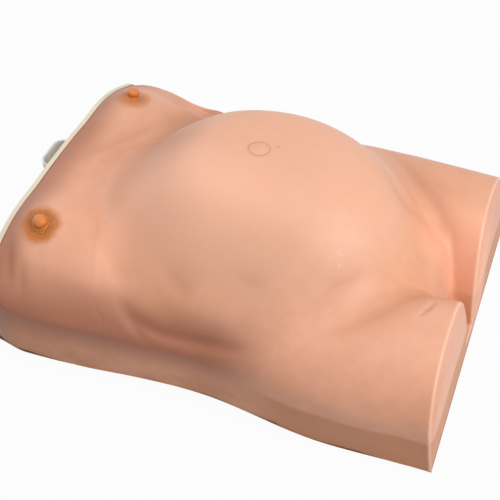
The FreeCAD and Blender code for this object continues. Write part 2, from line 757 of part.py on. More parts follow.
def doll_head(grow):
    size = FreeCAD.Matrix()
    size.scale(head_radius * head_stretch + grow, head_radius * head_narrowing + grow, head_radius + grow)
    head = Part.makeSphere(1.0).transformGeometry(size)
    head.translate(head_centre)
    return head


def make_fetus():
    """Curled doll, head towards the pelvis, back towards the near flank, moulded in one piece."""
    pieces = doll_limbs(0.0)
    pieces.append(Part.makeSphere(5.0, head_centre + V(12, head_radius * 0.90, 0)))
    pieces.append(Part.makeSphere(9.0, head_centre + V(-26, head_radius * 0.66, 0)))
    for side in (-1, 1):
        pieces.append(Part.makeTorus(6.0, 2.2, head_centre + V(-6, 0, side * head_radius * 0.97)))
    return doll_head(0.0).fuse(pieces).removeSplitter()


def without_crotch(solid, inset):
    """The solid without the floor of the gap between the thighs, which stays a full wall thick."""
    half_gap = thigh_offset - thigh_half_width + 4
    wide = half_gap + inset
    start = at(crotch_share) - 9
    return solid.cut(Part.makeBox(4 * overrun + 60, 2 * wide, 60,
                                  V(start, -wide, crotch_floor_height - inset)))


outer_grid = torso_grid(outer_stations, outer_columns)
inner_grid = torso_grid(inner_stations, inner_columns)
outer_solid = solid_under(outer_grid)
inner_solid = without_crotch(solid_under(moved_in(inner_grid, skin_wall)), skin_wall)
liner_solid = without_crotch(solid_under(moved_in(inner_grid, form_inset)), form_inset)

plate_head_centres = [V(chest_face, y, z) for y, z in plate_screw_places]
clamp_head_centres = [V(skin_start + clamp_thickness, side * loop_leg / 3, loop_height)
                      for side in (-1, 1)]
pelvis_heads = [V(x, y, boss_top + pelvis_pad) for x, y in pelvis_screw_places]
spine_heads = [V(x, y, boss_top + spine_rail_height) for x, y in spine_screw_places]

nodes = {
    "torso_skin": make_skin(outer_solid, inner_solid),
    "chest_end_plate": make_plate(),
    "pull_loop": make_loop(),
    "loop_clamp": make_clamp(),
    "base_tray": make_tray(liner_solid),
    "chest_form": make_chest_form(liner_solid),
    "near_thigh_form": make_thigh_form(liner_solid, -1),
    "far_thigh_form": make_thigh_form(liner_solid, 1),
    "fetus_bed": make_bed(liner_solid),
    "lumbar_spine": make_spine(),
    "pelvis": make_pelvis(),
    "fetus": make_fetus(),
    "end_plate_screws": Part.makeCompound([screw(c, V(1, 0, 0), plate_screw_depth + plate_thickness - 4)
                                           for c in plate_head_centres]),
    "loop_clamp_screws": Part.makeCompound([screw(c, V(-1, 0, 0), clamp_thickness + clamp_screw_bite)
                                            for c in clamp_head_centres]),
    "pelvis_screws": Part.makeCompound([screw(c, V(0, 0, -1), pelvis_screw_reach + 4)
                                        for c in pelvis_heads]),
    "spine_screws": Part.makeCompound([screw(c, V(0, 0, -1), pelvis_screw_reach + 4)
                                       for c in spine_heads]),
}

os.makedirs("parts", exist_ok=True)
for name, shape in nodes.items():
    print(name, len(shape.Solids), "solids", round(shape.Volume / 1000, 1), "cm3", shape.isValid())
    shape.exportStep("parts/" + name + ".step")
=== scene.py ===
"""Looks of the maternity examination model.

A supine training torso: one soft vinyl skin drawn over a hard tray, a cream end board with a
clear pull loop, and inside it foam forms, a bony pelvis, a spine and a curled doll.
The torso lies along X with its chest end at -X, its cut thighs at +X and the floor at Z = 0.
Sizes are in metres, apart from the tables of the folds and the hem, in millimetres.
"""
import math

import bpy
import numpy as np
from bpy.props import FloatProperty, FloatVectorProperty, IntProperty, PointerProperty
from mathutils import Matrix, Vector
from mathutils.bvhtree import BVHTree


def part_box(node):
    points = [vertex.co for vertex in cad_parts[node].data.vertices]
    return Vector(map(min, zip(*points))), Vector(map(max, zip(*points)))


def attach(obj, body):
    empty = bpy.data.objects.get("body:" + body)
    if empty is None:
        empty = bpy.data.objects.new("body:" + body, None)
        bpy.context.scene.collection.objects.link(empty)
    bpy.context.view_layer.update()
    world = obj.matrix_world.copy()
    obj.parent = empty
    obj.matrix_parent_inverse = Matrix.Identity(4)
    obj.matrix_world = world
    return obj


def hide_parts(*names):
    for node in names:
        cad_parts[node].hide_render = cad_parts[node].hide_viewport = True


bl_info = {
    "name": "Maternity examination model",
    "version": (1, 0, 0),
    "blender": (4, 5, 0),
    "location": "3D View > Sidebar > Exam torso",
    "description": "Builds the soft skin, the nipples and the finishes of an examination torso",
    "category": "Object",
}

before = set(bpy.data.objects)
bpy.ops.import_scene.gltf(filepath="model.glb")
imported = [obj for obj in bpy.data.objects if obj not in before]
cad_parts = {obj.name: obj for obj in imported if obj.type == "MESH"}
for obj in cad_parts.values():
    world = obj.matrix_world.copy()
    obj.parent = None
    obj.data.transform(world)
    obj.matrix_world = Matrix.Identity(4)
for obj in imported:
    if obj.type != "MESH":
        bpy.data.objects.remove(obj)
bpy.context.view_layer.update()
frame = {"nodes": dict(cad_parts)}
end_board_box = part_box("chest_end_plate")
skin_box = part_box("torso_skin")

# Rows in the rounded rim of the cut faces, and points of the outer wall for one within.
RIM_STEPS = 6
INNER_STEP = 4

TORSO_MIDDLE = Vector((0.0, 0.0, 0.08))
WHITE = (1.0, 1.0, 1.0, 1.0)


def size(default, description):
    """A length that the user may change."""
    return FloatProperty(default=default, description=description, unit="LENGTH", precision=4)


def lamp_power(default, description):
    """A lamp's power in watts that the user may change."""
    return FloatProperty(default=default, description=description, unit="POWER")


def colour(red, green, blue, description):
    """A colour that the user may change, given as it looks on a screen, 0 to 255."""
    shown = np.array([red, green, blue]) / 255
    light = np.where(shown <= 0.04045, shown / 12.92, ((shown + 0.055) / 1.055) ** 2.4)
    return FloatVectorProperty(default=(*light.tolist(), 1.0), size=4, min=0, max=1,
                               subtype="COLOR", description=description)


def named(group):
    """Gives each property of a group its name in the panel: the words of its own name."""
    for key, held in group.__annotations__.items():
        held.keywords["name"] = key.replace("_", " ").capitalize()
    return group


@named
class TorsoSizes(bpy.types.PropertyGroup):
    """Outline, heights and swellings of the torso."""
    end_half_width: size(0.216, "Half width at the end board")
    chest_half_width: size(0.223, "Half width of the chest")
    waist_half_width: size(0.202, "Half width of the waist")
    hip_half_width: size(0.215, "Half width of the hips")
    foot_half_width: size(0.208, "Half width at the cut thighs")
    chest_from_end: size(0.042, "Widest place of the chest, from the end board")
    waist_from_end: size(0.282, "Waist, from the end board")
    hip_from_end: size(0.437, "Widest place of the hips, from the end board")
    chest_side: size(0.086, "Height of the upright side wall at the chest")
    foot_side: size(0.066, "Height of the upright side wall at the cut thighs")
    flank_drop: size(0.020, "How far the near side wall's top rounds down")
    side_tuck: size(0.005, "How far the side wall draws in at the floor")
    chest_height: size(0.150, "Height of the breastbone at the end board")
    rib_height: size(0.143, "Height between the breasts")
    under_rib_height: size(0.129, "Height of the trunk below the ribs")
    loin_height: size(0.127, "Height of the trunk under the belly")
    mons_height: size(0.118, "Height in front of the thighs' gap")
    crotch_floor: size(0.014, "Height of the gap between the thighs")
    belly_rise: size(0.1125, "How far the belly stands above the trunk")
    belly_from_end: size(0.297, "Middle of the belly, from the end board")
    belly_to_chest: size(0.222, "Reach of the belly towards the chest")
    belly_to_foot: size(0.224, "Reach of the belly towards the thighs")
    belly_half_width: size(0.205, "Reach of the belly to each side")
    breast_rise: size(0.0185, "How far a breast stands above the trunk")
    breast_from_end: size(0.059, "Middle of a breast, from the end board")
    breast_offset: size(0.131, "Middle of a breast, from the middle plane")
    breast_reach: size(0.105, "Reach of a breast along the torso")
    breast_half_width: size(0.084, "Reach of a breast across the torso")
    thigh_height: size(0.150, "Top of a cut thigh")
    thigh_offset: size(0.113, "Middle of a cut thigh, from the middle plane")
    thigh_half_width: size(0.096, "Half width of a thigh on its inner side")
    valley_depth: size(0.006, "Depth of the valley between belly and flank")
    hollow_depth: size(0.015, "Depth of the hollow below the far ribs")
    near_hollow: size(0.003, "Depth of the hollow below the near ribs")
    waist_slump: FloatProperty(default=0.25, description="Share by which the far waist sinks")
    end_lean: FloatProperty(default=math.radians(8), subtype="ANGLE",
                            description="How far the cut faces lean back")
    end_bulge: size(0.004, "How far a cut face swells")
    rim: size(0.004, "Radius of the cut faces' rim")
    skin_wall: size(0.004, "Thickness of the vinyl")
    stations: IntProperty(default=300, description="Rows of the skin's grid")
    columns: IntProperty(default=228, description="Points in one row")


@named
class DetailSizes(bpy.types.PropertyGroup):
    """Small features of the skin."""
    nipple_radius: size(0.0090, "Radius of a nipple")
    nipple_height: size(0.0125, "Height of a nipple")
    nipple_from_end: size(0.047, "Nipples, from the end board")
    nipple_offset: size(0.130, "Nipples, from the middle plane")
    areola_radius: size(0.0245, "Radius of the stained ring")
    areola_rise: size(0.0012, "How far the skin swells under a nipple")
    navel_from_end: size(0.282, "Navel, from the end board")
    navel_radius: size(0.0130, "Radius of the navel's disc")
    bead_rise: size(0.0009, "How far the bead on the hem stands out")
    flank_wave: size(0.0009, "Height of the waves on the flanks")
    body_wave: size(0.0005, "Height of the slow waves all over")
    chest_roll: size(0.0022, "How far the edge at the end board rolls in")
    fold_depth: FloatProperty(default=1.0, description="Share of the folds' full depth")


@named
class FinishColours(bpy.types.PropertyGroup):
    """Colours of the finishes."""
    skin: colour(226, 164, 131, "Soft vinyl")
    skin_warm: colour(224, 157, 120, "Patches where the vinyl is more orange")
    skin_pink: colour(228, 166, 138, "Patches where the vinyl is more pink")
    # Painted sheen: the top of the belly is drawn lighter and paler.
    skin_painted_sheen: colour(234, 184, 158, "Highlit, paler top of the belly")
    # Painted light on the belly's near slope and on the far groin.
    skin_painted_light: colour(250, 182, 148, "Belly's near slope and the far groin")
    # Painted highlight on the rounded rims of the cut faces.
    skin_rim_highlight: colour(240, 196, 170, "Highlit rim of the cut faces")
    # Darker vinyl for the mottle and the specks, and painted shade in the folds, on the near flank,
    # at the far waist, at the rolled chest edge and in the navel's groove.
    skin_dark_and_painted_shade: colour(154, 94, 68, "Darkening in the bottom of the folds")
    # Painted shade below the skirt line, and a patchy darkening of the lower sides.
    skin_skirt_shade_and_low_dark: colour(188, 120, 76, "Patchy, dulled lower sides")
    areola: colour(194, 108, 14, "Stain round the nipples")
    nipple: colour(216, 126, 58, "Nipples")
    board: colour(226, 214, 190, "End board")
    loop: colour(240, 238, 236, "Clear pull loop")
    tray: colour(150, 98, 76, "Hard tray")
    clamp: colour(222, 216, 202, "Clamp block")
    foam: colour(236, 226, 196, "Foam forms")
    bone: colour(232, 222, 196, "Pelvis and spine")
    doll: colour(228, 172, 146, "Doll")
    steel: colour(196, 196, 194, "Screws")


@named
class StageSizes(bpy.types.PropertyGroup):
    """Camera, lamps and floor."""
    lens: FloatProperty(default=70.2, unit="CAMERA", description="Focal length in millimetres")
    camera_place: FloatVectorProperty(default=(0.2985, -0.8189, 1.0), size=3,
                                      subtype="TRANSLATION", description="Where the camera stands")
    camera_turn: FloatProperty(default=math.radians(21), subtype="ANGLE",
                               description="How far the camera stands towards the thighs")
    camera_rise: FloatProperty(default=math.radians(47), subtype="ANGLE",
                               description="Camera angle above the horizon")
    key_power: lamp_power(10.5, "Main softbox, above the torso")
    fill_power: lamp_power(17.2, "Softbox past the thighs")
    side_power: lamp_power(6.5, "Softbox past the chest")
    sky: FloatProperty(default=0.39, description="Strength of the even light")
    floor_size: size(8.0, "Side of the floor")


# Shapes as whole arrays

# Heights of the near hem at places along X, in millimetres
NEAR_HEM = [(-287, 9.5), (-235, 8.5), (-190, 4.5), (-115, 3.3), (-10, 3.1), (30, 4.5), (70, 6.5),
            (97, 8.5), (104, 4.5), (125, 3.3), (150, 5.0), (200, 6.0), (240, 3.5), (287, 3.1)]


def ease(t):
    """Smooth step from 0 to 1."""
    t = np.clip(t, 0, 1)
    return t * t * (3 - 2 * t)


def along(x, *stations):
    """Value that eases from one (place, value) station to the next."""
    value = np.full(np.shape(x), float(stations[0][1]))
    for (x0, v0), (x1, v1) in zip(stations, stations[1:]):
        value = np.where(x > x0, v0 + (v1 - v0) * ease((x - x0) / (x1 - x0)), value)
    return value


def hill(rho, fullness):
    """Raised cosine: 1 in the middle, 0 at rho = 1; a larger fullness widens its top."""
    return 0.5 + 0.5 * np.cos(np.pi * np.clip(rho, 0, 1) ** fullness)


def higher_of(a, b, blend):
    """The higher of two surfaces, rounded where they cross."""
    share = np.clip(1 - np.abs(a - b) / blend, 0, None)
    return np.maximum(a, b) + blend * share * share / 4


def bell(distance, width):
    """Gaussian bell over a distance."""
    return np.exp(-(distance / width) ** 2)


class Torso:
    """Height of the torso over each point of the floor."""

    def __init__(self, sizes):
        self.sizes = sizes
        self.chest = end_board_box[0].x
        self.start = skin_box[0].x
        self.foot = skin_box[1].x
        self.lean = math.tan(sizes.end_lean)

    def half_width(self, x):
        s = self.sizes
        return along(x, (self.chest, s.end_half_width),
                     (self.chest + s.chest_from_end, s.chest_half_width),
                     (self.chest + s.waist_from_end, s.waist_half_width),
                     (self.chest + s.hip_from_end, s.hip_half_width),
                     (self.foot, s.foot_half_width))

    def side(self, x, y):
        """Top of the upright side wall, lower where the near flank rounds down."""
        plain = along(x, (self.chest, self.sizes.chest_side), (self.foot, self.sizes.foot_side))
        rounded = along(x, (self.start, 0.0), (self.start + 0.050, 1.0), (0.020, 1.0), (0.140, 0.0))
        return plain - np.where(np.less(y, 0), self.sizes.flank_drop, 0.0) * rounded

    def trunk_top(self, x):
        """Height of the trunk on the middle plane, without the belly."""
        s = self.sizes
        return along(x, (self.chest, s.chest_height), (self.chest + 0.097, s.rib_height),
                     (self.chest + 0.187, s.under_rib_height), (0.0, s.loin_height),
                     (self.foot - 0.137, s.loin_height), (self.foot - 0.064, s.mons_height),
                     (self.foot - 0.013, s.crotch_floor))

    def trunk(self, x, y):
        """A super-ellipse over the side walls."""
        top = self.trunk_top(x)
        side = self.side(x, y)
        squareness = along(x, (self.chest, 2.3), (self.chest + 0.117, 2.0),
                           (self.chest + 0.197, 2.2), (self.foot, 2.4))
        t = np.clip(np.abs(y) / self.half_width(x), 0, 1) ** squareness
        return np.where(top < side, top + (side - top) * t,
                        side + (top - side) * (1 - t) ** (1 / 1.8))

    def belly(self, x, y):
        """A raised cosine over an oval."""
        s = self.sizes
        ahead = x - self.chest - s.belly_from_end
        dx = ahead / np.where(ahead < 0, s.belly_to_chest, s.belly_to_foot)
        rho = np.hypot(dx, y / s.belly_half_width)
        return s.belly_rise * hill(rho, 1.96)

    def breast(self, x, y):
        """A raised cosine on each side, flattened where it reaches the end board."""
        s = self.sizes
        rho = np.hypot((x - self.chest - s.breast_from_end) / s.breast_reach,
                       (np.abs(y) - s.breast_offset) / s.breast_half_width)
        return along(x, (self.chest, 0.5), (self.chest + 0.037, 1.0)) * s.breast_rise * hill(rho, 1.4)

    def thigh(self, x, y):
        """Its outer side runs into the side wall, its inner side drops to the crotch."""
        s = self.sizes
        across = np.abs(y)
        centre = along(x, (0.0, s.thigh_offset + 0.015), (self.foot, s.thigh_offset))
        reach = along(x, (0.0, s.thigh_half_width - 0.016), (self.foot, s.thigh_half_width))
        top = along(x, (-0.060, 0.090), (0.110, s.thigh_height - 0.010), (self.foot, s.thigh_height))
        side = self.side(x, y)
        outward = np.clip((across - centre) / (self.half_width(x) - centre), 0, 1)
        inward = (centre - across) / reach
        far = np.greater(y, 0)
        outer = side + (top - side) * np.sqrt(1 - outward ** 2.2)
        fullness = np.where(far, 2.2, 3.0)
        roundness = np.where(far, 0.5, 0.42)
        inner = top * (1 - np.clip(inward, 0, 1) ** fullness) ** roundness
        inner = np.where(inward > 1, 0.060 * (1 - inward), inner)
        return np.where(across > centre, outer, inner)

    def flank_fold(self, x, y):
        """The soft valley where the belly meets the flank, and the hollow below the ribs.

        Both fade towards their ends by the square of 1 - t * t, where t runs from -1 to 1.
        """
        across = np.abs(y)
        t = (x - self.chest - 0.292) / 0.105
        fade = np.clip(1 - t * t, 0, 1) ** 2
        valley = self.sizes.valley_depth * fade * bell(across - 0.184 + 0.026 * t * t, 0.014)
        t = (x - self.chest - 0.122) / 0.058
        fade = np.clip(1 - t * t, 0, 1) ** 2
        to_wall = np.sqrt(np.clip((self.half_width(x) - across) / 0.008, 0, 1))
        depth = np.where(y < 0, self.sizes.near_hollow, self.sizes.hollow_depth)
        return valley + depth * fade * ease((across - 0.150) / 0.050) * to_wall

    def top(self, x, y):
        blend = along(x, (0.0, 0.060), (0.200, 0.018))
        body = self.trunk(x, y) + self.belly(x, y) + self.breast(x, y)
        return higher_of(body, self.thigh(x, y), blend) - self.flank_fold(x, y)

    def hem(self, x, far):
        """Height of the skin's lower edge, which rides up here and there on the near side."""
        near = np.interp(x, *np.array(NEAR_HEM).T / 1000)
        other = 0.0045 + 0.0012 * np.sin(x * 31) * np.sin(x * 12 + 1)
        return np.where(far, other, near)

    def skin_grid(self, x, columns):
        """Rows of points at each x, from the near hem over the top to the far hem.

        Each row is the wall, the top height over y, and the other wall. Its points are spread
        evenly along its own length, with a few close together at both hems.
        """
        x = x[:, None]
        wide = self.half_width(x)
        rise = np.linspace(0, 1, 24, endpoint=False)[None, :]
        walls = []
        for far in (False, True):
            low = self.hem(x, far)
            side = self.side(x, 1.0 if far else -1.0)
            z = low + (side - low) * rise
            walls.append((-wide + self.sizes.side_tuck * (1 - z / side) ** 2, z))
        across = wide * np.sin(np.linspace(-np.pi / 2, np.pi / 2, 700))[None, :]
        y = np.hstack([walls[0][0], across, -walls[1][0][:, ::-1]])
        z = np.hstack([walls[0][1], self.top(x, across), walls[1][1][:, ::-1]])
        run = np.cumsum(np.hypot(np.diff(y, axis=1), np.diff(z, axis=1)), axis=1)
        run = np.hstack([np.zeros_like(x), run])
        close = np.array([0.0, 0.0007, 0.0014, 0.0022, 0.0034])
        length = run[:, -1:]
        margin = 0.0052
        even = np.linspace(0, 1, columns - 2 * len(close))[None, :]
        inner = margin + (length - 2 * margin) * even
        target = np.hstack([close + 0 * length, inner, length - close[::-1]])
        # One search for all rows, because each row's shares lie 2 above the last row's.
        rows = np.arange(len(x))[:, None]
        known = (run / length + 2 * rows).ravel()
        place = np.searchsorted(known, (target / length + 2 * rows).ravel())
        place = np.clip(place.reshape(target.shape) - rows * run.shape[1], 1, run.shape[1] - 1)
        pick = np.take_along_axis
        before, after = pick(run, place - 1, 1), pick(run, place, 1)
        t = np.clip((target - before) / np.maximum(after - before, 1e-9), 0, 1)
        y = pick(y, place - 1, 1) * (1 - t) + pick(y, place, 1) * t
        z = pick(z, place - 1, 1) * (1 - t) + pick(z, place, 1) * t
        return np.stack([x + 0 * y, y, z], axis=2)

    def leaned(self, points):
        """The last rows drawn back as they rise, with their heights read again at the new place,
        and the far waist sunk."""
        x, y, z = np.moveaxis(points, 2, 0)
        share = ease((x - self.foot + 0.110) / 0.110)
        moved = x - share * self.lean * z
        z = z + (self.top(moved, y) - self.top(x, y)) * np.clip(z / self.side(x, y), 0, 1)
        moved = x - share * self.lean * z
        far_waist = bell(moved + 0.176, 0.045) * ease((y - 0.150) / 0.050)
        slump = self.sizes.waist_slump * far_waist * np.clip(z - 0.060, 0, None)
        return np.stack([moved, y, z - slump], axis=2)


def grid_normals(points):
    """Outward unit normals of a grid whose rows run along X and whose columns run over the top."""
    du = np.gradient(points, axis=0)
    dv = np.gradient(points, axis=1)
    normal = np.cross(du, dv)
    return normal / np.linalg.norm(normal, axis=2, keepdims=True)


def smooth_line(points, count=60):
    """Points evenly spread in parameter on a Catmull-Rom curve through the given ones."""
    p = np.array(points, float)
    p = np.vstack([2 * p[0] - p[1], p, 2 * p[-1] - p[-2]])
    u = np.linspace(0, len(p) - 3 - 1e-9, count)
    i = u.astype(int)
    t = (u - i)[:, None]
    a, b, c, d = p[i], p[i + 1], p[i + 2], p[i + 3]
    return 0.5 * (2 * b + (c - a) * t + (2 * a - 5 * b + 4 * c - d) * t ** 2
                  + (3 * b - a - 3 * c + d) * t ** 3)


def line_distance(points, line):
    """Distance from every grid point to a polyline, how far along it is, and the side it lies on."""
    flat = points.reshape(-1, 3)
    near = np.full(len(flat), 1e9)
    share = np.zeros(len(flat))
    side = np.zeros(len(flat))
    count = len(line) - 1
    for k in range(count):
        a, b = line[k], line[k + 1]
        run = b - a
        t = np.clip((flat - a) @ run / (run @ run), 0, 1)
        off = flat - a - t[:, None] * run
        distance = np.linalg.norm(off, axis=1)
        closer = distance < near
        near = np.where(closer, distance, near)
        share = np.where(closer, (k + t) / count, share)
        side = np.where(closer, np.sign(run[0] * off[:, 1] - run[1] * off[:, 0]), side)
    shape = points.shape[:2]
    return near.reshape(shape), share.reshape(shape), side.reshape(shape)


# Folds of the skin, in millimetres: points (x, y), depth, width, and how much the side to the left
# of the line swells beside it. A fold as deep as FULL_FOLD takes all of the folds' painted shade.
FULL_FOLD = 4.0
FOLDS = [
    ([(-122, -172), (-108, -180), (-90, -188), (-66, -193), (-36, -192), (-5, -190), (30, -189),
      (55, -189)], 4.2, 8.5, 0.0),
    ([(-106, -187), (-92, -195), (-81, -200), (-66, -204)], 2.2, 5.5, 0.0),
    ([(-182, -86), (-174, -113), (-170, -131), (-164, -148), (-158, -164)], 0.6, 2.6, 0.8),
    ([(-252, -2), (-237, 21), (-221, 51), (-194, 90), (-173, 133)], 1.0, 6.0, 0.9),
    ([(-146, -184), (-136, -194), (-122, -201)], 0.6, 2.2, 0.5),
    ([(-129, -195), (-127, -205), (-128, -212)], 0.6, 2.0, 0.5),
    ([(130, -160), (160, -140), (185, -110), (208, -78), (228, -52), (246, -36)], 1.6, 12.0, 0.3),
    ([(227, -103), (234, -88), (239, -74)], 1.8, 3.0, 0.9),
    ([(112, 178), (140, 158), (168, 124), (195, 98), (218, 70), (238, 44)], 2.2, 12.0, 0.3),
    ([(100, 100), (128, 74), (156, 48), (178, 46), (195, 60), (210, 52)], 1.2, 11.0, 0.2),
    ([(-70, -142), (-44, -153), (-26, -160)], 1.4, 14.0, 0.0),
    ([(20, -139), (40, -141), (60, -137)], 0.9, 7.5, 0.0),
    ([(95, -150), (114, -137), (129, -115), (143, -97), (161, -72)], 1.4, 12.0, 0.0),
    ([(-268, -160), (-258, -182), (-250, -202)], 3.0, 8.0, 0.5),
    ([(-246, -172), (-238, -190), (-232, -204)], 1.6, 6.0, 0.4),
    ([(-150, 0), (-150, 50), (-144, 99), (-140, 140)], 1.8, 24.0, 0.0),
]


def fold_lift(torso, points, depth_share):
    """Displacement along the normal: each fold is a bell-shaped valley that fades at its ends,
    with a softer swell beside it. Also gives the share of full depth, for the folds' painted shade."""
    lift = np.zeros(points.shape[:2])
    depth_mark = np.zeros(points.shape[:2])
    for places, depth, width, swell in FOLDS:
        colour_share = min(1.0, depth / FULL_FOLD)
        depth, width = depth / 1000, width / 1000
        plan = smooth_line(np.array(places) / 1000)
        line = np.column_stack([plan, torso.top(plan[:, 0], plan[:, 1])])
        distance, share, side = line_distance(points, line)
        fade = np.sqrt(np.clip(np.sin(np.pi * np.clip(share, 0.02, 0.98)), 0, 1))
        valley = bell(distance, width) * fade
        beside = bell(distance - 1.9 * width, 1.5 * width) * fade * np.where(side > 0, 1.0, 0.35)
        lift += depth * depth_share * (swell * 0.5 * beside - valley)
        # Painted shade: darkest along each valley, and fainter in a wider band round it.
        shade = np.maximum(valley, 0.55 * bell(distance, 2.4 * width) * fade)
        depth_mark = np.maximum(depth_mark, shade * colour_share)
    return lift, depth_mark


def soft_waves(points, details):
    """Slight unevenness of soft vinyl: a few slow sine waves, stronger on the flanks, and the
    edge rolled in at the end board."""
    x, y, z = np.moveaxis(points, 2, 0)
    flank = ease((0.150 - z) / 0.080) * ease((np.abs(y) - 0.120) / 0.060)
    slow = np.sin(47 * x + 9 * np.sin(21 * y)) * np.sin(39 * z + 17 * x + 2 * np.sign(y))
    broad = np.sin(23 * x + 31 * y + 1.3) * np.sin(17 * x - 26 * y + 0.4)
    roll = details.chest_roll * bell(x - skin_box[0].x, 0.009)
    return details.flank_wave * flank * slow + details.body_wave * broad - roll


def lowest_near(values, reach):
    """The lowest value within so many grid steps of each point."""
    low = values
    for axis in (0, 1):
        count = low.shape[axis]
        shifts = [np.clip(np.arange(count) + k, 0, count - 1) for k in range(-reach, reach + 1)]
        low = np.min([np.take(low, shift, axis) for shift in shifts], axis=0)
    return low


def numbered(grid, first=0):
    """Numbers of a grid's points, row by row."""
    return first + np.arange(grid.shape[0] * grid.shape[1]).reshape(grid.shape[:2])


def quads(number):
    """Quads between neighbouring points of a grid of numbers; a transposed grid turns them over."""
    corners = [number[:-1, :-1], number[1:, :-1], number[1:, 1:], number[:-1, 1:]]
    return np.stack(corners, axis=2).reshape(-1, 4)


def dropped(edge, low, count):
    """Straight lines from each point of an edge down to a line on the floor from -low to low, in
    so many steps. Gives each step's share, and y and z."""
    steps = np.linspace(0, 1, count + 1)[1:, None]
    foot_y = np.linspace(-low, low, len(edge))
    foot_z = np.minimum(0.003, edge[:, 2])
    y = edge[:, 1] + (foot_y - edge[:, 1]) * steps
    z = edge[:, 2] + (foot_z - edge[:, 2]) * steps
    return steps, y, z


def new_object(name, data):
    """An object at the origin, in the scene."""
    made = bpy.data.objects.new(name, data)
    bpy.context.scene.collection.objects.link(made)
    return made


def mesh_object(name, points, faces, marks):
    """A smooth-shaded mesh object at the origin from points and a list of face arrays."""
    mesh = bpy.data.meshes.new(name)
    mesh.from_pydata(points.tolist(), [], [face for block in faces for face in block.tolist()])
    mesh.polygons.foreach_set("use_smooth", np.ones(len(mesh.polygons), bool))
    for label, values in marks.items():
        mesh.attributes.new(label, "FLOAT", "POINT").data.foreach_set(
            "value", values.ravel().astype(np.float32))
    mesh.update()
    made = new_object(name, mesh)
    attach(made, "root")
    return made


def outer_skin(sizes, details):
    """The outer surface of the skin: its plain grid and normals, how far the folds and waves lift
    each point, how far the rim draws it in, the finished points, and the folds' share of depth."""
    torso = Torso(sizes)
    turn = np.linspace(0, np.pi / 2, RIM_STEPS + 1)[1:]
    rows = sizes.stations - RIM_STEPS
    straight = np.linspace(torso.start, torso.foot - sizes.rim, rows)
    x = np.concatenate([straight, torso.foot - sizes.rim + sizes.rim * np.sin(turn)])
    draw_in = np.concatenate([np.zeros(rows), sizes.rim * (1 - np.cos(turn))])[:, None]
    base = torso.leaned(torso.skin_grid(x, sizes.columns))
    normal = grid_normals(base)
    lift, fold = fold_lift(torso, base, details.fold_depth)
    lift = lift + soft_waves(base, details) * ease((torso.foot - base[:, :, 0]) / 0.02)
    from_nipple = np.hypot(base[:, :, 0] - torso.chest - details.nipple_from_end,
                           np.abs(base[:, :, 1]) - details.nipple_offset)
    lift = lift + details.areola_rise * bell(from_nipple, 0.018)
    hem_distance = np.minimum(base[:, :, 2] - torso.hem(base[:, :, 0], base[:, :, 1] > 0), 0.02)
    bead = details.bead_rise * bell(hem_distance - 0.0012, 0.0013)
    outer = base + normal * (lift + bead - draw_in)[:, :, None]
    for edge in (0, -1):
        outer[:, edge, 2] = base[:, edge, 2]
    outer[0, :, 0] = torso.start
    outer[-1, :, 0] = base[-1, :, 0]
    outer[:, :, 2] = np.maximum(outer[:, :, 2], 0.001)
    return torso, base, normal, lift - draw_in, outer, fold


def under_skin(points, tree, depth):
    """Points drawn down, where needed, until they lie so deep under the skin's outer surface."""
    moved = []
    for point in points:
        place, normal, _, _ = tree.find_nearest(point)
        height = (point - place).dot(normal)
        moved.append(point - normal * (height + depth) if -depth < height < 0.04 else point)
    return moved


# Materials

# Second tones, as linear light
SCUFFED = (0.93, 0.80, 0.70, 1.0)
AREOLA_RING = (0.20, 0.065, 0.006, 1.0)
BOARD_GRAIN = (0.42, 0.36, 0.27, 1.0)
BOARD_GREY = (0.30, 0.28, 0.25, 1.0)
LOOP_HAZE = (0.50, 0.46, 0.43, 1.0)
FOAM_PIT_SHADE = (0.46, 0.38, 0.22, 1.0)
FOAM_AGED = (0.62, 0.50, 0.28, 1.0)
STEEL_BRUSHED = (0.35, 0.35, 0.34, 1.0)
FLOOR_GREY = (0.60, 0.60, 0.60, 1.0)

# How soft vinyl scatters light
VINYL = {"Subsurface_Weight": 0.12, "Subsurface_Radius": (1.0, 0.45, 0.25)}


class Value:
    """A shader socket that can be used in sums, which add Math nodes."""

    def __init__(self, nodes, socket):
        self.nodes = nodes
        self.socket = socket

    def maths(self, operation, *values):
        return self.nodes.node("ShaderNodeMath", {"operation": operation}, dict(enumerate(values)))

    def __add__(self, other):
        return self.maths("ADD", self, other)

    def __sub__(self, other):
        return self.maths("SUBTRACT", self, other)

    def __rsub__(self, other):
        return self.maths("SUBTRACT", other, self)

    def __mul__(self, other):
        return self.maths("MULTIPLY", self, other)

    def __pow__(self, other):
        return self.maths("POWER", self, other)

    def __abs__(self):
        return self.maths("ABSOLUTE", self)

    __radd__ = __add__
    __rmul__ = __mul__

    def sine(self):
        return self.maths("SINE", self)

    def larger(self, other):
        return self.maths("MAXIMUM", self, other)

    def between(self, low, high):
        """Eases from 0 at low to 1 at high."""
        return self.nodes.node("ShaderNodeMapRange", {"interpolation_type": "SMOOTHSTEP"},
                               {"Value": self, "From Min": low, "From Max": high})

    def below(self, low, high):
        """Eases from 1 at low to 0 at high."""
        return 1 - self.between(low, high)


def apart(a, b):
    """Distance from a point that lies a and b away along two axes."""
    return (a * a + b * b) ** 0.5


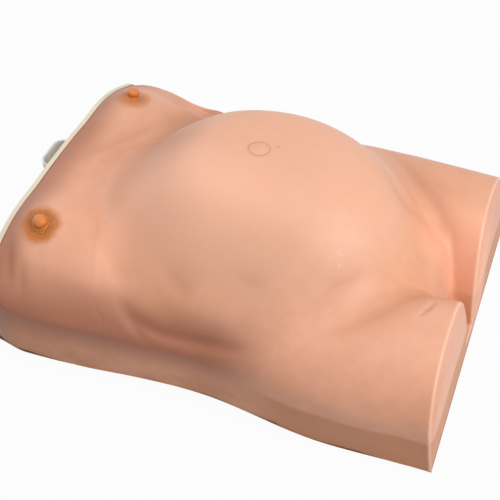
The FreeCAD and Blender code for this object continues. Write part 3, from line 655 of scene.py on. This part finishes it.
class Nodes:
    """The node tree of a material or the world."""

    def __init__(self, owner, out_kind):
        owner.use_nodes = True
        self.tree = owner.node_tree
        self.tree.nodes.clear()
        self.out = self.tree.nodes.new(out_kind)

    def fill(self, node, sockets):
        for key, value in sockets.items():
            if isinstance(value, Value):
                self.tree.links.new(value.socket, node.inputs[key])
            else:
                node.inputs[key].default_value = value

    def node(self, kind, settings=None, sockets=None, output=0):
        """Any node: its settings first, then the values or links of its sockets."""
        made = self.tree.nodes.new(kind)
        for key, value in (settings or {}).items():
            setattr(made, key, value)
        self.fill(made, sockets or {})
        return Value(self, made.outputs[output])

    def show(self, shader):
        """Links a shader to the tree's output."""
        self.fill(self.out, {0: shader})

    def seen(self):
        """1 for rays from the camera, mirrors and clear plastic."""
        camera, glossy, transmission = [self.node("ShaderNodeLightPath", output=name) for name in (
            "Is Camera Ray", "Is Glossy Ray", "Is Transmission Ray")]
        return camera.larger(glossy).larger(transmission)


class Finish(Nodes):
    """A procedural material on a Principled shader, whose tone is tinted step by step."""

    def __init__(self, name, tone, **sockets):
        self.material = bpy.data.materials.new(name)
        super().__init__(self.material, "ShaderNodeOutputMaterial")
        self.tone = tuple(tone)
        plain = {key.replace("_", " "): value for key, value in sockets.items()}
        self.surface = self.node("ShaderNodeBsdfPrincipled", {}, {"Base Color": self.tone, **plain})
        self.show(self.surface)

    def place(self):
        return self.node("ShaderNodeTexCoord", output="Object")

    def axes(self):
        """The three Object coordinates."""
        where = self.place()
        return [self.node("ShaderNodeSeparateXYZ", {}, {0: where}, k) for k in range(3)]

    def mark(self, name):
        """A value that the mesh carries at its points."""
        return self.node("ShaderNodeAttribute", {"attribute_name": name}, output="Fac")

    def noise(self, scale, detail=2.0, stretch=None):
        where = self.place()
        if stretch:
            where = self.node("ShaderNodeMapping", {}, {"Vector": where, "Scale": stretch})
        return self.node("ShaderNodeTexNoise", {},
                         {"Vector": where, "Scale": scale, "Detail": detail})

    def cells(self, scale, output="Distance"):
        return self.node("ShaderNodeTexVoronoi", {}, {"Vector": self.place(), "Scale": scale}, output)

    def tint(self, share, shade):
        """Mixes a share of another colour into the tone."""
        self.tone = self.node("ShaderNodeMix", {"data_type": "RGBA"},
                              {0: share, 6: self.tone, 7: tuple(shade)}, 2)

    def done(self, rough, relief, depth):
        """Sets what changes over the surface: the tone, the roughness and a bump."""
        bump = self.node("ShaderNodeBump", {}, {"Distance": depth, "Height": relief})
        self.fill(self.surface.socket.node,
                  {"Base Color": self.tone, "Roughness": rough, "Normal": bump})
        return self

    def give(self, *pieces):
        """Puts the material on the pieces."""
        for piece in pieces:
            piece.data.materials.clear()
            piece.data.materials.append(self.material)


def skin_patches(finish, colours):
    """Slow patches of orange and pink vinyl under a fine, darker mottle."""
    finish.tint(finish.noise(7.0, 3.0).between(0.42, 0.62), colours.skin_pink)
    finish.tint(0.5, colours.skin)
    finish.tint(finish.noise(55.0, 4.0).between(0.3, 0.7) * 0.10, colours.skin_dark_and_painted_shade)


def skin_regions(finish, axes, colours):
    """Painted shade on the near flank, far waist, skirt, rolled edge and folds; painted light on the
    belly's near slope, far groin and top, and a painted highlight on the rims; a patchy darkening of
    the lower sides. Gives how dark the skirt and the lower sides are."""
    x, y, z = axes
    # Painted shade on the steep near flank below the belly.
    steep = z.below(0.092, 0.142) * z.between(0.030, 0.080) * (y * -1).between(0.150, 0.185)
    finish.tint(steep * x.below(0.0, 0.10) * 0.85, colours.skin_dark_and_painted_shade)
    # Painted light on the belly's near slope, towards the chest.
    near_slope = x.between(-0.180, -0.135) * x.below(-0.040, 0.080) * z.between(0.112, 0.148)
    finish.tint(near_slope * y.below(-0.070, 0.010) * 0.90, colours.skin_painted_light)
    # Painted sheen: lighter and paler with height over the top.
    finish.tint(z.between(0.115, 0.190) * 0.46, colours.skin_painted_sheen)
    # Painted shade in the hollow at the far waist.
    far_waist = abs(x + 0.130).below(0.010, 0.065) * y.between(-0.070, 0.020)
    finish.tint(far_waist * 0.42, colours.skin_dark_and_painted_shade)
    # Painted light on the slope of the far groin.
    far_groin = x.between(0.150, 0.220) * y.between(-0.010, 0.030) * y.below(0.060, 0.110)
    finish.tint(far_groin * 0.55, colours.skin_painted_light)

    # Painted shade below the skirt line; and, apart from it, a patchy darkening of the lower sides.
    edge = z + 0.004 * finish.noise(30.0, 2.0)
    skirt = edge.below(0.058, 0.068) * x.between(0.02, 0.12)
    skirt = skirt.larger(edge.below(0.060, 0.080) * x.below(-0.220, -0.130) * 0.7)
    low_sides = z.below(0.020, 0.085) * abs(y).between(0.160, 0.195)
    blotchy = finish.noise(16.0, 4.0).between(0.35, 0.70)
    darkened = (skirt * (0.70 - 0.45 * far_groin)).larger(low_sides * (0.15 + 0.50 * blotchy))
    finish.tint(darkened, colours.skin_skirt_shade_and_low_dark)

    # Painted shade where the edge rolls in at the end board.
    rolled = x.below(skin_box[0].x + 0.004, skin_box[0].x + 0.050)
    finish.tint(rolled * 0.75, colours.skin_dark_and_painted_shade)
    # Painted shade in the folds, as strong as they are deep.
    finish.tint(finish.mark("fold") * 0.60, colours.skin_dark_and_painted_shade)
    # Painted highlight on the rounded rims of the cut faces.
    finish.tint(finish.mark("rim") * 0.6, colours.skin_rim_highlight)
    return darkened


def areolas(finish, axes, colours, details):
    """Ragged stains round the nipples with fine ring wrinkles, darkest in a ring at the nipple's
    foot. Gives the wrinkles' relief."""
    x, y, _ = axes
    along_x = x - (end_board_box[0].x + details.nipple_from_end)
    reach = apart(along_x, abs(y) - details.nipple_offset)
    ragged = reach + 0.010 * (finish.noise(80.0, 4.0) - 0.5)
    stain = ragged.below(details.areola_radius * 0.70, details.areola_radius * 1.20)
    stain = stain * (1 - 0.35 * y.between(-0.01, 0.01))
    wrinkle = (reach * 2600 + 24.0 * finish.noise(75.0, 3.0)).sine()
    finish.tint(stain * (0.90 + 0.09 * wrinkle), colours.areola)
    inner_ring = abs(reach - 0.0120).below(0.0, 0.0080)
    finish.tint(inner_ring * stain * (0.30 + 0.28 * wrinkle), AREOLA_RING)
    return stain * wrinkle * 0.00022


def specks(finish, colours):
    """Small dark dots in the middle of a few cells."""
    density = 52.0
    rare = finish.node("ShaderNodeSeparateColor", {}, {0: finish.cells(density, "Color")})
    dot = finish.cells(density).below(0.018, 0.034) * rare.between(0.80, 0.82)
    finish.tint(dot * 0.6, colours.skin_dark_and_painted_shade)


def scuffs(finish, axes):
    """Fine pale scratches in a round patch on the belly. Gives where they are."""
    x, y, _ = axes
    scratch = finish.noise(260.0, 2.0, (1.0, 0.35, 1.0)).between(0.58, 0.66)
    scuff = apart(x - 0.122, y + 0.088).below(0.004, 0.017) * scratch
    finish.tint(scuff * 0.25, SCUFFED)
    return scuff


def navel(finish, axes, colours, details):
    """A low, slightly oval disc in a groove, with a small pit, and painted shade in the groove. Gives
    its relief.
    """
    x, y, _ = axes
    oval = apart(x - (end_board_box[0].x + details.navel_from_end), y * math.sqrt(1.12))
    ring = abs(oval - details.navel_radius).below(0.0, 0.0026)
    pit = apart(x - 0.014, y - 0.011).below(0.0005, 0.0040)
    # Painted shade in the groove round the disc.
    finish.tint(ring * 0.07, colours.skin_dark_and_painted_shade)
    return oval.below(0.0, details.navel_radius) * 0.0018 - ring * 0.0012 - pit * 0.0010


def skin_finish(colours, details):
    """Soft satin vinyl with stained areolas, specks, scuffs and a moulded navel disc."""
    finish = Finish("soft_skin", colours.skin_warm, Specular_IOR_Level=0.44,
                    Subsurface_Scale=0.006, **VINYL)
    axes = finish.axes()
    skin_patches(finish, colours)
    darkened = skin_regions(finish, axes, colours)
    wrinkles = areolas(finish, axes, colours, details)
    specks(finish, colours)
    scuff = scuffs(finish, axes)
    relief = navel(finish, axes, colours, details) + wrinkles + finish.noise(420.0, 3.0) * 0.00005
    rough = 0.40 + 0.10 * finish.noise(18.0, 4.0) + 0.20 * scuff + 0.10 * darkened
    return finish.done(rough, relief, 1.0)


def nipple_finish(colours):
    """The same vinyl, shinier and stained at the foot."""
    finish = Finish("nipple_skin", colours.areola, Specular_IOR_Level=0.55,
                    Subsurface_Scale=0.004, **VINYL)
    finish.tint(finish.mark("rise").between(0.12, 0.55), colours.nipple)
    finish.tint(finish.noise(300.0, 3.0).between(0.4, 0.7) * 0.25, colours.areola)
    return finish.done(0.34 + 0.1 * finish.noise(200.0), finish.noise(500.0, 3.0), 0.0004)


def board_finish(colours):
    """Cream board with a faint grain and grey at its handled places."""
    finish = Finish("cream_board", colours.board, Specular_IOR_Level=0.4)
    grain = finish.noise(30.0, 5.0, (1.0, 0.15, 1.0))
    finish.tint(grain.between(0.3, 0.75) * 0.16, BOARD_GRAIN)
    finish.tint(finish.noise(9.0, 3.0).between(0.5, 0.8) * 0.10, BOARD_GREY)
    return finish.done(0.42 + 0.15 * grain, grain, 0.0003)


def loop_finish(colours):
    """Pale clear plastic with a few hazy places."""
    finish = Finish("clear_loop", colours.loop, Specular_IOR_Level=0.5, Transmission_Weight=0.20,
                    IOR=1.46)
    haze = finish.noise(70.0, 3.0)
    finish.tint(haze.between(0.35, 0.7) * 0.25, LOOP_HAZE)
    return finish.done(0.16 + 0.18 * haze, finish.noise(160.0, 2.0), 0.0003)


def moulded_finish(name, shade, rough=0.5, grain=0.0003):
    """Moulded plastic: slight cloudiness and a fine grain."""
    finish = Finish(name, shade, Specular_IOR_Level=0.4)
    cloud = finish.noise(14.0, 4.0)
    finish.tint(cloud.between(0.35, 0.75) * 0.35, [0.72 * light for light in shade[:3]] + [1.0])
    return finish.done(rough - 0.08 + 0.16 * cloud, finish.noise(380.0, 3.0), grain)


def foam_finish(colours):
    """Open-celled foam: small pits of uneven size, with painted shade in them."""
    finish = Finish("soft_foam", colours.foam, Specular_IOR_Level=0.2)
    pits = finish.cells(420.0).below(0.10, 0.45)
    # Painted shade in the pits.
    finish.tint(pits * 0.35, FOAM_PIT_SHADE)
    finish.tint(finish.noise(8.0, 3.0).between(0.4, 0.8) * 0.2, FOAM_AGED)
    return finish.done(0.85 + 0.1 * pits, 1 - pits, 0.0006)


def steel_finish(colours):
    """Brushed steel screws."""
    finish = Finish("screw_steel", colours.steel, Metallic=1.0)
    brushed = finish.noise(900.0, 3.0, (1.0, 0.1, 1.0))
    finish.tint(brushed.between(0.3, 0.7) * 0.3, STEEL_BRUSHED)
    return finish.done(0.26 + 0.16 * brushed, brushed, 0.0001)


# Operators


class EXAM_OT_skin(bpy.types.Operator):
    """Builds the one-piece vinyl skin over the tray"""
    bl_idname = "exam_torso.skin"
    bl_label = "Torso skin"

    def execute(self, context):
        sizes = context.scene.exam_torso
        details = context.scene.exam_details
        torso, base, normal, lift, outer, fold = outer_skin(sizes, details)
        outer_number = numbered(outer)
        # Share of the painted highlight along the rounded rim of the cut faces.
        rim = np.zeros(outer_number.shape)
        rim[-RIM_STEPS - 1:] = np.sin(np.linspace(0, np.pi, RIM_STEPS + 1))[:, None]
        cap = self.end_cap(torso, outer[-1])
        cap_number = numbered(cap, outer_number.size)

        rows, columns = [np.append(np.arange(0, last, INNER_STEP), last)
                         for last in (len(outer) - RIM_STEPS - 1, sizes.columns - 1)]
        inner = base + normal * (lowest_near(lift, INNER_STEP) - sizes.skin_wall)[:, :, None]
        inner = inner[rows][:, columns]
        for edge in (0, -1):
            inner[:, edge, 2] = base[rows, edge, 2]
        inner[0, :, 0] = torso.start
        inner_number = numbered(inner, outer_number.size + cap_number.size)
        inner_cap = self.inner_cap(torso, inner[-1])
        inner_cap_number = numbered(inner_cap, inner_number[-1, -1] + 1)

        blocks = [quads(outer_number), quads(np.vstack([outer_number[-1], cap_number])),
                  quads(inner_number)[:, ::-1],
                  quads(np.vstack([inner_number[-1], inner_cap_number]).T),
                  *self.lips(outer_number, inner_number, rows, columns)]
        points = np.vstack([grid.reshape(-1, 3) for grid in (outer, cap, inner, inner_cap)])
        # The folds' share of painted shade and the rims' share of painted highlight, carried at the
        # outer points.
        marks = {name: np.pad(mark.ravel(), (0, len(points) - mark.size))
                 for name, mark in (("fold", fold), ("rim", rim))}
        skin = mesh_object("soft_torso_skin", points, blocks, marks)
        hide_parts("torso_skin")
        skin_finish(context.scene.exam_colours, details).give(skin)
        return {"FINISHED"}

    def end_cap(self, torso, edge):
        """Cut faces of the thighs: straight lines from the rim to the hem line, swelling between."""
        sizes = torso.sizes
        steps, y, z = dropped(edge, sizes.foot_half_width - sizes.side_tuck, 14)
        tall = np.clip((edge[:, 2] - 0.02) / 0.1, 0, 1)
        swell = sizes.end_bulge * np.sin(np.pi * np.sqrt(steps)) * tall
        return np.stack([torso.foot - torso.lean * z + swell - 0.0006, y, z], axis=2)

    def inner_cap(self, torso, edge):
        """Inside of the cut faces: the last inner row joined down to the hem line."""
        sizes = torso.sizes
        _, y, z = dropped(edge, sizes.foot_half_width - sizes.side_tuck - sizes.skin_wall, 5)
        return np.stack([edge[:, 0] + 0 * y, y, z], axis=2)

    def lips(self, outer_number, inner_number, rows, columns):
        """Flat lips at the chest edge and both hems: a fan round each inner point and a triangle
        between fans."""
        strips = [(outer_number[0], inner_number[0], columns, False),
                  (outer_number[:, 0], inner_number[:, 0], rows, True),
                  (outer_number[:, -1], inner_number[:, -1], rows, False)]
        blocks = []
        for fine, coarse, places, turned in strips:
            last = places[-1]
            owner = np.searchsorted(places, np.arange(last), side="right") - 1
            fans = np.stack([fine[:last], fine[1:last + 1], coarse[owner]], axis=1)
            bridge = np.stack([fine[places[1:]], coarse[1:], coarse[:-1]], axis=1)
            face = np.vstack([fans, bridge])
            blocks.append(face[:, ::-1] if turned else face)
        return blocks


class EXAM_OT_nipples(bpy.types.Operator):
    """Builds the two moulded nipples with their creased foot"""
    bl_idname = "exam_torso.nipples"
    bl_label = "Nipples"

    def execute(self, context):
        details = context.scene.exam_details
        torso = Torso(context.scene.exam_torso)
        finish = nipple_finish(context.scene.exam_colours)
        for name, side in (("near_nipple", -1), ("far_nipple", 1)):
            finish.give(self.nipple(name, torso, details, side * details.nipple_offset))
        return {"FINISHED"}

    def nipple(self, name, torso, details, y):
        """A turned profile: low collar, neck and rounded knob, with small lumps round it."""
        profile = smooth_line([(1.30, -0.06), (1.16, 0.06), (1.00, 0.12), (0.86, 0.21), (0.82, 0.36),
                               (0.92, 0.56), (0.94, 0.72), (0.82, 0.90), (0.58, 1.03), (0.30, 1.10),
                               (0.0, 1.12)], 48)
        x = torso.chest + details.nipple_from_end
        around = np.linspace(0, 2 * np.pi, 64, endpoint=False)
        rise = profile[:, 1][:, None]
        lumps = 1 + 0.035 * np.sin(5 * around + 1.3) * np.sin(3 * rise + 0.5)
        radius = np.maximum(profile[:, 0], 0)[:, None] * details.nipple_radius * lumps
        foot_x = x + radius * np.cos(around)
        foot_y = y + radius * np.sin(around)
        step = 0.004
        slope_x = (torso.top(x + step, y) - torso.top(x - step, y)) / (2 * step)
        slope_y = (torso.top(x, y + step) - torso.top(x, y - step)) / (2 * step)
        normal = np.array([-slope_x, -slope_y, 1.0])
        normal /= np.linalg.norm(normal)
        ground = np.stack([foot_x, foot_y, torso.top(foot_x, foot_y)], axis=2)
        points = ground + normal * (rise * details.nipple_height)[:, :, None]
        number = numbered(points)
        ringed = np.hstack([number, number[:, :1]])
        marks = {"rise": np.repeat(np.clip(profile[:, 1], 0, 1), len(around))}
        made = mesh_object(name, points.reshape(-1, 3), [quads(ringed.T)], marks)
        return made


class EXAM_OT_end_board(bpy.types.Operator):
    """Finishes the end board, its clear pull loop, the clamp and the screws"""
    bl_idname = "exam_torso.end_board"
    bl_label = "End board and loop"

    def execute(self, context):
        colours = context.scene.exam_colours
        nodes = frame["nodes"]
        board_finish(colours).give(nodes["chest_end_plate"])
        loop_finish(colours).give(nodes["pull_loop"])
        moulded_finish("clamp_plastic", colours.clamp).give(nodes["loop_clamp"])
        screws = [piece for name, piece in nodes.items() if name.endswith("_screws")]
        steel_finish(colours).give(*screws)
        return {"FINISHED"}


class EXAM_OT_inside(bpy.types.Operator):
    """Finishes the tray, the foam forms, the bones and the doll"""
    bl_idname = "exam_torso.inside"
    bl_label = "Tray and inner pieces"

    def execute(self, context):
        colours = context.scene.exam_colours
        nodes = frame["nodes"]
        moulded_finish("tray_plastic", colours.tray, 0.55).give(nodes["base_tray"])
        foam_finish(colours).give(*self.foam_pieces(context, nodes))
        bones = moulded_finish("bone_plastic", colours.bone, 0.45, 0.0005)
        bones.give(nodes["pelvis"], nodes["lumbar_spine"])
        moulded_finish("doll_skin", colours.doll).give(nodes["fetus"])
        return {"FINISHED"}

    def foam_pieces(self, context, nodes):
        """The foam forms, pressed down where the skin's folds dip towards them."""
        sizes = context.scene.exam_torso
        outer = outer_skin(sizes, context.scene.exam_details)[4]
        tree = BVHTree.FromPolygons(outer.reshape(-1, 3).tolist(), quads(numbered(outer)).tolist())
        clearance = 0.0012
        made = []
        for name in ("chest_form", "near_thigh_form", "far_thigh_form", "fetus_bed"):
            node = nodes[name]
            mesh = node.data.copy()
            points = under_skin([node.matrix_world @ corner.co for corner in mesh.vertices], tree,
                                sizes.skin_wall + clearance)
            mesh.vertices.foreach_set("co", np.array(points).ravel())
            mesh.update()
            piece = new_object("foam_" + name, mesh)
            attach(piece, "root")
            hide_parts(name)
            made.append(piece)
        return made


class EXAM_OT_stage(bpy.types.Operator):
    """Builds the floor, the softboxes and the camera"""
    bl_idname = "exam_torso.stage"
    bl_label = "Stage"

    def execute(self, context):
        stage = context.scene.exam_stage
        self.floor(stage.floor_size / 2)
        self.world(context.scene, stage.sky)
        self.lamp("key_softbox", (0.10, -0.12, 1.90), 1.5, stage.key_power)
        self.lamp("fill_softbox", (1.40, -0.30, 1.20), 1.0, stage.fill_power)
        self.lamp("side_softbox", (-1.30, 0.30, 1.10), 1.2, stage.side_power)
        camera_data = bpy.data.cameras.new("camera")
        camera_data.lens = stage.lens
        camera_data.sensor_width = 36.0
        camera = new_object("camera", camera_data)
        camera.location = stage.camera_place
        back = Vector((math.sin(stage.camera_turn) * math.cos(stage.camera_rise),
                       -math.cos(stage.camera_turn) * math.cos(stage.camera_rise),
                       math.sin(stage.camera_rise)))
        camera.rotation_euler = (-back).to_track_quat("-Z", "Y").to_euler()
        context.scene.camera = camera
        context.scene.view_settings.view_transform = "Standard"
        return {"FINISHED"}

    def lamp(self, name, place, side, power):
        """A square softbox that looks at the middle of the torso."""
        light = bpy.data.lights.new(name, "AREA")
        light.shape = "SQUARE"
        light.size = side
        light.energy = power
        made = new_object(name, light)
        made.location = place
        aim = TORSO_MIDDLE - Vector(place)
        made.rotation_euler = aim.to_track_quat("-Z", "Y").to_euler()

    def floor(self, half):
        """White floor just under the object, which glows for the camera and takes its shadow."""
        level = -0.0004
        corners = [(-half, -half, level), (half, -half, level), (half, half, level),
                   (-half, half, level)]
        mesh = bpy.data.meshes.new("floor")
        mesh.from_pydata(corners, [], [(0, 1, 2, 3)])
        floor = new_object("floor", mesh)
        finish = Finish("floor_white", FLOOR_GREY, Roughness=1.0, Specular_IOR_Level=0.0)
        glow = finish.node("ShaderNodeEmission", {}, {"Color": WHITE})
        finish.show(finish.node("ShaderNodeMixShader", {},
                                {0: finish.seen() * 0.95, 1: finish.surface, 2: glow}))
        finish.give(floor)

    def world(self, scene, strength):
        """Even white light of this strength on the object, and a white background."""
        scene.world = bpy.data.worlds.new("studio")
        nodes = Nodes(scene.world, "ShaderNodeOutputWorld")
        level = nodes.node("ShaderNodeMapRange", {}, {"Value": nodes.seen(), "To Min": strength})
        nodes.show(nodes.node("ShaderNodeBackground", {}, {"Color": WHITE, "Strength": level}))


class EXAM_PT_panel(bpy.types.Panel):
    """Lists the torso's pieces"""
    bl_idname = "EXAM_PT_panel"
    bl_label = "Exam torso"
    bl_space_type = "VIEW_3D"
    bl_region_type = "UI"
    bl_category = "Exam torso"

    def draw(self, context):
        for operator in OPERATORS:
            self.layout.operator(operator.bl_idname)


OPERATORS = (EXAM_OT_skin, EXAM_OT_nipples, EXAM_OT_end_board, EXAM_OT_inside, EXAM_OT_stage)
GROUPS = {"exam_torso": TorsoSizes, "exam_details": DetailSizes, "exam_colours": FinishColours,
          "exam_stage": StageSizes}


def register():
    for name, group in GROUPS.items():
        bpy.utils.register_class(group)
        setattr(bpy.types.Scene, name, PointerProperty(type=group))
    for operator in OPERATORS:
        bpy.utils.register_class(operator)
    bpy.utils.register_class(EXAM_PT_panel)


def unregister():
    bpy.utils.unregister_class(EXAM_PT_panel)
    for operator in reversed(OPERATORS):
        bpy.utils.unregister_class(operator)
    for name, group in GROUPS.items():
        delattr(bpy.types.Scene, name)
        bpy.utils.unregister_class(group)


def main():
    """Builds every piece in order."""
    register()
    bpy.ops.exam_torso.stage()
    bpy.ops.exam_torso.skin()
    bpy.ops.exam_torso.nipples()
    bpy.ops.exam_torso.end_board()
    bpy.ops.exam_torso.inside()


if __name__ == "__main__":
    main()
